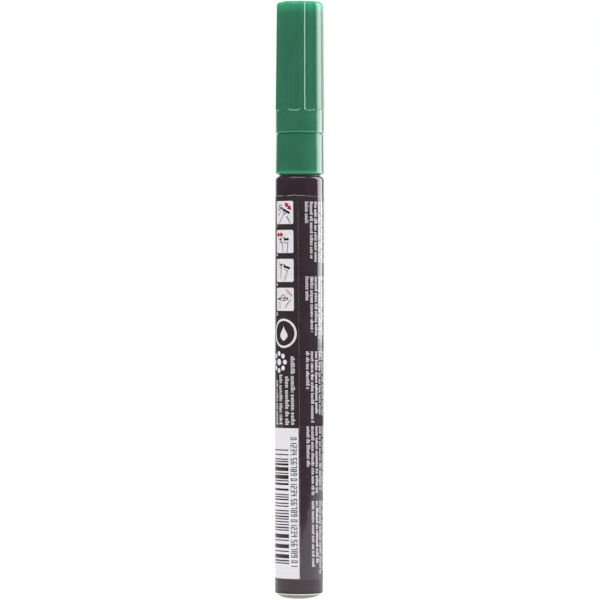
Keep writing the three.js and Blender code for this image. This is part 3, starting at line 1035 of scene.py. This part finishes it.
# Small print: rows of plain bars and boxes that stand for text and can't be read
BAR = ("near high", "near low")
BOX = ("near high", "near low", "top", "foot", "far high", "far low")
DIGITS = (
    BOX,
    ("far high", "far low"),
    ("top", "far high", "middle", "near low", "foot"),
    ("top", "far high", "middle", "far low", "foot"),
    ("near high", "middle", "far high", "far low"),
    ("top", "near high", "middle", "far low", "foot"),
    ("top", "near high", "near low", "middle", "far low", "foot"),
    ("top", "far high", "far low"),
    BOX + ("middle",),
    ("top", "near high", "middle", "far high", "far low", "foot"),
)
WORD_MARKS = (3, 9)  # fewest and most
DIGIT_GROUP = 5
# Shares of a row's height
MARK_HEIGHTS = (0.7, 0.7, 0.74, 1.0)
MARK_LENGTHS = (0.32, 0.46)
MARK_FOOT = 0.35
MARK_GAP = 0.16
WORD_GAP = 0.36
DIGIT_LENGTH = 0.42
DIGIT_WEIGHT = 0.13
DIGIT_GAP = 0.17
GROUP_GAP = 0.45
BOLD = 0.14
TEXT_BOLD = 0.13
TEXT_LIGHT = 0.09

TEXT_COLUMNS = [across * MM for across in (1.89, 3.08, 4.28, 5.48, 6.68, 7.88, 9.08)]
TEXT_BLOCK_PITCH = 17.13 * MM
TEXT_BLOCK_TOP = 1.3 * MM
# Length in millimetres of each column in each block
TEXT_BLOCKS = [
    [5.2, 13.3, 13.8, 14.2, 13.9, 14.4, 12.6],
    [5.6, 13.0, 13.9, 14.3, 13.6, 14.1, 13.2],
    [8.95, 16.2, 14.3, 14.5, 14.9, 13.8, 14.6],
    [9.6, 15.8, 15.4, 14.6, 15.2, 14.4, 12.9],
    [0, 15.1, 14.4, 16.7, 16.2, 15.3, 14.8],
]
TEXT_HEIGHT = 0.82 * MM
TEXT_LIGHT_FROM = 5.0 * MM  # right of here the columns are set lighter
# Four rows beside the panel, in millimetres: across, top and height
SIDE_ROWS = [(-1.66, 36.7, 0.95), (-3.12, 41.3, 1.0), (-5.00, 40.9, 0.95), (-6.45, 42.2, 0.85)]
SIDE_ROWS_FOOT = 52.45 * MM


def mark(colour, strokes, low, down, tall, length, weight):
    """One mark: low is its foot across the label, down where it starts."""
    rails = {"foot": low + weight / 2, "middle": low + tall / 2, "top": low + tall - weight / 2}
    for stroke in strokes:
        if stroke in rails:
            colour.stroke([(rails[stroke], down), (rails[stroke], down + length)], weight)
        else:
            middle = low + tall * (0.75 if "high" in stroke else 0.25)
            start = down if "near" in stroke else down + length - weight
            colour.stroke([(middle, start), (middle, start + weight)], tall / 2)


def small_print(across, top, foot, height, draw, bold):
    """Marks in groups of a word's length. draw is the seeded generator that picks them."""
    weight = height * bold
    down = top
    while down < foot:
        for _ in range(draw.randint(*WORD_MARKS)):
            strokes = draw.choice((BAR, BOX, BOX))
            tall = height * draw.choice(MARK_HEIGHTS)
            length = weight if strokes is BAR else height * draw.uniform(*MARK_LENGTHS)
            if down + length > foot:
                return
            mark(WHITE, strokes, across - height * MARK_FOOT, down, tall, length, weight)
            down += length + height * MARK_GAP
        down += height * WORD_GAP


def number_row(across, top, foot, height):
    """The digits from 0 to 9, over and over, in groups."""
    length = height * DIGIT_LENGTH
    down = top
    count = 0
    while down + length < foot:
        digit = DIGITS[count % len(DIGITS)]
        mark(BLACK, digit, across - height / 2, down, height, length, height * DIGIT_WEIGHT)
        count += 1
        down += length + height * (GROUP_GAP if count % DIGIT_GROUP == 0 else DIGIT_GAP)


def text_blocks():
    draw = random.Random(11)
    for block, lengths in enumerate(TEXT_BLOCKS):
        top = TEXT_BLOCK_TOP + block * TEXT_BLOCK_PITCH
        for across, length in zip(TEXT_COLUMNS, lengths):
            bold = TEXT_BOLD if across < TEXT_LIGHT_FROM else TEXT_LIGHT
            small_print(across, top, top + length * MM, TEXT_HEIGHT, draw, bold)


def side_rows():
    draw = random.Random(23)
    for across, top, height in SIDE_ROWS:
        small_print(across * MM, top * MM, SIDE_ROWS_FOOT, height * MM, draw, BOLD)


# Shares of an arrow's width
ARROW_HEAD = 2.2
ARROW_BARBS = 2.8
POINT = 0.02  # millimetres to which a pointed stroke narrows
DROP_STEPS = 12
DROP_BREADTH = 0.62  # as a share of its length
DROP_SWELL = 1.6  # above 1, the widest place lies in the low half


class Spot:
    """A pictogram's place. From its middle, x runs down the barrel and y to the right, in millimetres."""

    def __init__(self, across, down):
        self.across = across
        self.down = down

    def draw(self, colour, points, widths):
        line = [(self.across + y * MM, self.down + x * MM) for x, y in points]
        if isinstance(widths, (int, float)):
            widths = [widths] * len(line)
        colour.stroke(line, [width * MM for width in widths])

    def arrow(self, colour, tail, tip, width):
        """An arrow whose head takes the last stretch of its length."""
        tail, tip = Vector(tail), Vector(tip)
        neck = tip - (tip - tail).normalized() * width * ARROW_HEAD
        self.draw(colour, [tail, neck], width)
        self.draw(colour, [neck, tip], [width * ARROW_BARBS, POINT])

    def two_way(self, colour, first, second, width):
        middle = (Vector(first) + Vector(second)) / 2
        self.arrow(colour, middle, first, width)
        self.arrow(colour, middle, second, width)

    def marker(self, tip, end, grip):
        """A small marker with fingers over it up to a share of its length."""
        tip, end = Vector(tip), Vector(end)
        self.draw(TAN, [tip, tip.lerp(end, 0.14)], [0.15, 0.45])
        self.draw(BLACK, [tip.lerp(end, 0.13), tip.lerp(end, 0.33)], [0.4, 0.6])
        self.draw(BLACK, [tip.lerp(end, grip), end], 0.55)

    def hand(self, *lines):
        for line in lines:
            self.draw(BLACK, line, 0.16)

    def drop(self, colour, size):
        """A drop that hangs down the barrel, twice as long as size."""
        shares = span(0, 1, DROP_STEPS)
        halves = [size * DROP_BREADTH * math.sin(math.pi * share ** DROP_SWELL) for share in shares]
        points = [((share - 0.5) * 2 * size, 0) for share in shares]
        self.draw(colour, points, [max(2 * half, POINT) for half in halves])


SQUARE = 5.27 * MM
SQUARE_CORNER = 0.35 * MM
SQUARE_ACROSS = -3.77 * MM
SQUARE_DOWN = 3.77 * MM
SQUARE_PITCH = 6.62 * MM
TALLY_ACROSS = 0.1 * MM
TALLY_DOWN = 0.35 * MM
TALLY_PITCH = 0.22 * MM


def squares():
    """White squares with short tally strokes below each: one below the first, two below the next."""
    half = SQUARE / 2
    spots = [Spot(SQUARE_ACROSS, SQUARE_DOWN + step * SQUARE_PITCH) for step in range(4)]
    for number, spot in enumerate(spots):
        left, foot = spot.across - half, spot.down + half
        WHITE.panel(left, spot.across + half, spot.down - half, foot, SQUARE_CORNER)
        for tally in range(number + 1):
            place = Spot(left + TALLY_ACROSS, foot + TALLY_DOWN + tally * TALLY_PITCH)
            place.draw(WHITE, [(0, -0.3), (0, 0.35)], 0.14)
    return spots


def pictograms():
    shake, press, write, close = squares()
    shake.two_way(RED, (-2.25, 0.4), (-0.6, 2.2), 0.46)
    shake.marker((-1.35, -1.3), (0.15, 1.75), 0.37)
    shake.hand(
        [(-0.5, -1.7), (-1.0, -1.5), (-1.5, -1.5), (-1.8, -1.0), (-1.6, -0.4)],
        [(-0.4, -1.45), (-0.9, -1.2)],
        [(-0.3, -0.85), (0.3, -1.3), (0.7, -1.7)],
        [(-0.3, 0.0), (0.15, 0.1), (0.3, 0.5), (0.05, 0.9)],
        [(0.3, 0.35), (0.7, -0.15), (2.5, -1.4)],
    )
    shake.draw(BLACK, [(0.9, 1.0), (2.5, 1.95)], [0.3, 0.12])
    press.two_way(RED, (-1.56, -2.55), (-1.56, 0.05), 0.46)
    press.marker((-0.5, -1.6), (-0.5, 1.5), 0.55)
    press.hand(
        [(-0.9, -0.4), (-0.85, 0.1), (-0.9, 0.5)],
        [(-0.2, -1.1), (0.1, -0.8), (0.15, -0.3)],
        [(0.3, -0.9), (0.35, -0.25), (2.4, -0.2)],
        [(-0.1, 0.35), (0.35, 0.45), (0.4, 0.95), (0.1, 1.3), (2.5, 1.0)],
    )
    write.draw(TAN, [(-2.3, -1.2), (-1.9, -1.35), (-1.5, -1.2)], 0.16)
    write.marker((-1.45, -1.45), (-0.45, 1.75), 0.46)
    write.hand(
        [(-1.5, -0.2), (-1.3, 0.25), (-1.0, 0.5)],
        [(-0.9, -1.3), (-0.6, -1.1), (-0.5, -0.6)],
        [(-0.7, -0.9), (-0.2, -0.7), (0.2, -0.8), (1.9, -0.95)],
        [(-0.5, 0.35), (-0.05, 0.45), (0.1, 1.15), (2.4, 0.2)],
    )
    close.draw(BLACK, [(-0.1, -2.15), (-0.1, -0.9)], [0.25, 0.55])
    close.draw(BLACK, [(-0.2, -0.1), (-0.2, 0.25)], 0.4)
    close.draw(TAN, [(-0.2, 0.3), (-0.15, 1.05)], 0.6)
    close.hand(
        [(-0.3, -0.9), (-0.95, -0.6), (-1.0, 0.1), (-0.5, 0.5)],
        [(0.2, -0.9), (0.35, 0.0), (0.25, 0.6)],
        [(-0.6, -0.7), (-0.15, -0.3), (-0.5, 0.3)],
        [(-0.5, 1.1), (0.2, 1.15)],
        [(0.5, -1.25), (2.2, -1.25)],
        [(0.15, 1.9), (1.0, 1.0), (2.0, 0.5)],
    )
    for step in range(4):
        x, y = -2.3 + 0.37 * step, 0.95 + 0.4 * step
        close.draw(RED, [(x, y), (x + 0.5, y - 0.25)], 0.24)


RING_PLACE = (-3.86 * MM, 31.4 * MM)
RING_RADIUS = 3.1 * MM
RING_WIDTH = 0.5 * MM
RING_DROP = 1.75
DOTS_PLACE = (-5.49 * MM, 38.0 * MM)
DOTS_RADIUS = 1.95 * MM
DOT = 0.55 * MM
MIDDLE_DOT = 0.75 * MM
DOTS = 8


def plain_signs():
    """Two signs that stand for nothing: a ring with a drop, and a ring of dots."""
    WHITE.ring(*RING_PLACE, RING_RADIUS, RING_WIDTH)
    Spot(*RING_PLACE).drop(WHITE, RING_DROP)
    WHITE.disc(*DOTS_PLACE, MIDDLE_DOT)
    for place in circle(*DOTS_PLACE, DOTS_RADIUS, DOTS):
        WHITE.disc(*place, DOT)


PANEL_TOP = 53.1 * MM
PANEL_FOOT = 87.53 * MM
PANEL_LEFT = -9.3 * MM
PANEL_RIGHT = -0.29 * MM
PANEL_CORNER = 0.15 * MM
BARS_LEFT = -8.0 * MM
BARS_RIGHT = -2.75 * MM
BARS_TOP = 58.0 * MM
BARS_FOOT = 84.0 * MM
BAR_WIDTHS = (0.27, 0.27, 0.27, 0.35, 0.5, 0.9)
BAR_GAPS = (0.27, 0.37, 0.57, 0.77)
NUMBERS_ACROSS = -1.45 * MM
NUMBERS_TOP = 55.2 * MM
NUMBERS_FOOT = 85.6 * MM
NUMBERS_HEIGHT = 1.45 * MM


def bar_panel():
    """A white panel with plain bars that encode nothing."""
    WHITE.panel(PANEL_LEFT, PANEL_RIGHT, PANEL_TOP, PANEL_FOOT, PANEL_CORNER)
    draw = random.Random(31)
    down = BARS_TOP
    while down < BARS_FOOT:
        width = draw.choice(BAR_WIDTHS) * MM
        middle = down + width / 2
        BLACK.stroke([(BARS_LEFT, middle), (BARS_RIGHT, middle)], width)
        down += width + draw.choice(BAR_GAPS) * MM
    number_row(NUMBERS_ACROSS, NUMBERS_TOP, NUMBERS_FOOT, NUMBERS_HEIGHT)


STRIPE_MIDDLE = 16.6 * MM
STRIPE_HALF = 2.6 * MM
STRIPE_TOP = 6 * MM
STRIPE_FOOT = 72 * MM
STRIPE_CORNER = 2.4 * MM
BACK_RING_PLACE = (STRIPE_MIDDLE, 79.5 * MM)
BACK_RING_RADIUS = 2.35 * MM
BACK_RING_WIDTH = 0.35 * MM
BACK_DROP = 1.3


def back_of_label():
    """A stripe in the ink's colour with a plain drop, away from the photographed side."""
    left, right = STRIPE_MIDDLE - STRIPE_HALF, STRIPE_MIDDLE + STRIPE_HALF
    GREEN.panel(left, right, STRIPE_TOP, STRIPE_FOOT, STRIPE_CORNER)
    WHITE.ring(*BACK_RING_PLACE, BACK_RING_RADIUS, BACK_RING_WIDTH)
    Spot(*BACK_RING_PLACE).drop(WHITE, BACK_DROP)


def label():
    film()
    text_blocks()
    side_rows()
    pictograms()
    plain_signs()
    bar_panel()
    back_of_label()
    for colour in (WHITE, GREEN, BLACK, RED, TAN):
        colour.finish()


# Studio

CAMERA_DISTANCE = 0.8
CAMERA_SIDE = 0.115 * MM
CAMERA_HEIGHT = 68.52 * MM
CAMERA_ROLL = math.radians(-0.101)
FRAME_WIDTH = 138.06 * MM  # what the picture spans at the marker
SHEET_FRONT = -0.235
SHEET_BACK = 3.0
SHEET_GLOW = 0.75
SHEET_GLOW_MIRRORED = 0.26
SHEET_LEFT = -1.5
SHEET_RIGHT = 0.46
SIDE_RADIANCE = 6.7
SIDE_DISTANCE = 0.75
SIDE_TOP = 1.6
# Name, degrees round from the front, width and foot. The narrow one widens the streak on the cap
SIDE_STRIPS = [("side softbox", 114.5, 0.5, 0.045), ("cap softbox", 93.2, 0.07, 0.125)]
OVERHEAD = (-0.1, 0, 1.1)
OVERHEAD_SIZE = (0.9, 1.0)
OVERHEAD_RADIANCE = 5.2
FILL = (0.74, 0.1, 0.5)
FILL_SIZE = (0.5, 1.0)
FILL_RADIANCE = 3.5
AMBIENT = 0.6
DARK_STUDIO = 0.12  # what reflections see in front of the marker
GLOW_STARTS = 0.74  # how far a reflection heads to the back where the white starts
GLOW_FULL = 0.86


def camera():
    data = bpy.data.cameras.new("camera")
    data.lens = data.sensor_width * CAMERA_DISTANCE / FRAME_WIDTH
    data.clip_start = 0.01
    eye = add("camera", data)
    eye.location = (CAMERA_SIDE, -CAMERA_DISTANCE, CAMERA_HEIGHT)
    eye.rotation_euler = (math.pi / 2, CAMERA_ROLL, 0)
    bpy.context.scene.camera = eye


def softbox(name, place, target, width, height, radiance):
    data = bpy.data.lights.new(name, "AREA")
    data.shape = "RECTANGLE"
    data.size = width
    data.size_y = height
    data.energy = math.pi * width * height * radiance
    light = add(name, data)
    light.location = place
    light.rotation_euler = (Vector(target) - Vector(place)).to_track_quat("-Z", "Y").to_euler()
    light.visible_camera = False
    return light


def lights():
    for name, side, width, foot in SIDE_STRIPS:
        turn = math.radians(side)
        middle = 0.5 * (foot + SIDE_TOP)
        place = (SIDE_DISTANCE * math.sin(turn), -SIDE_DISTANCE * math.cos(turn), middle)
        streak = softbox(name, place, (0, 0, middle), width, SIDE_TOP - foot, SIDE_RADIANCE)
        streak.visible_diffuse = False
    softbox("overhead softbox", OVERHEAD, (OVERHEAD[0], 0, 0), *OVERHEAD_SIZE, OVERHEAD_RADIANCE)
    fill = softbox("right fill", FILL, (0, 0, FILL[2]), *FILL_SIZE, FILL_RADIANCE)
    fill.visible_glossy = False


def world():
    """White behind the marker, and a dark studio in front of it for reflections."""
    surroundings = bpy.data.worlds.new("studio")
    bpy.context.scene.world = surroundings
    surroundings.use_nodes = True
    nodes = Nodes(surroundings.node_tree)
    nodes.tree.nodes.clear()
    rays = nodes.node("ShaderNodeLightPath").outputs
    direction = nodes.node("ShaderNodeTexCoord").outputs["Generated"]
    backwards = nodes.node("ShaderNodeSeparateXYZ", Vector=direction).outputs["Y"]
    strength = nodes.ranged(backwards, DARK_STUDIO, 1.0, GLOW_STARTS, GLOW_FULL)
    strength = nodes.choose(rays["Is Diffuse Ray"], AMBIENT, strength)
    strength = nodes.choose(rays["Is Transmission Ray"], 1.0, strength)
    strength = nodes.choose(rays["Is Camera Ray"], 1.0, strength)
    background = nodes.node("ShaderNodeBackground", Color=(1, 1, 1), Strength=strength)
    nodes.node("ShaderNodeOutputWorld", Surface=background.outputs["Background"])


def floor():
    """A white sheet that ends a little in front of the marker, and keeps its shadow."""
    data = bpy.data.meshes.new("floor")
    corners = [
        (SHEET_LEFT, SHEET_FRONT, 0),
        (SHEET_RIGHT, SHEET_FRONT, 0),
        (SHEET_RIGHT, SHEET_BACK, 0),
        (SHEET_LEFT, SHEET_BACK, 0),
    ]
    data.from_pydata(corners, [], [(0, 1, 2, 3)])
    look = Look("white sheet", Roughness=0.9, Specular_IOR_Level=0.1)
    look.colour(look.blend(look.noise(3), (0.54, 0.54, 0.54), (0.58, 0.58, 0.58)))
    rays = look.node("ShaderNodeLightPath").outputs
    seen = look.maths("MULTIPLY", rays["Is Camera Ray"], SHEET_GLOW)
    mirrored = look.maths("MULTIPLY", rays["Is Glossy Ray"], SHEET_GLOW_MIRRORED)
    glow = look.node("ShaderNodeEmission", Strength=look.maths("ADD", seen, mirrored))
    both = look.node("ShaderNodeAddShader")
    look.feed(both.inputs[0], look.shader.outputs["BSDF"])
    look.feed(both.inputs[1], glow.outputs["Emission"])
    look.feed(look.tree.nodes["Material Output"].inputs["Surface"], both.outputs["Shader"])
    data.materials.append(look.material)
    add("floor", data)


camera()
world()
floor()
lights()
cap_shell()
cap_seal()
barrel()
front_section()
nib()
felt_buffer()
seat_ring()
plunger()
coil_spring()
mixing_ball()
valve_cage()
label()

bpy.context.scene.view_settings.view_transform = "Standard"
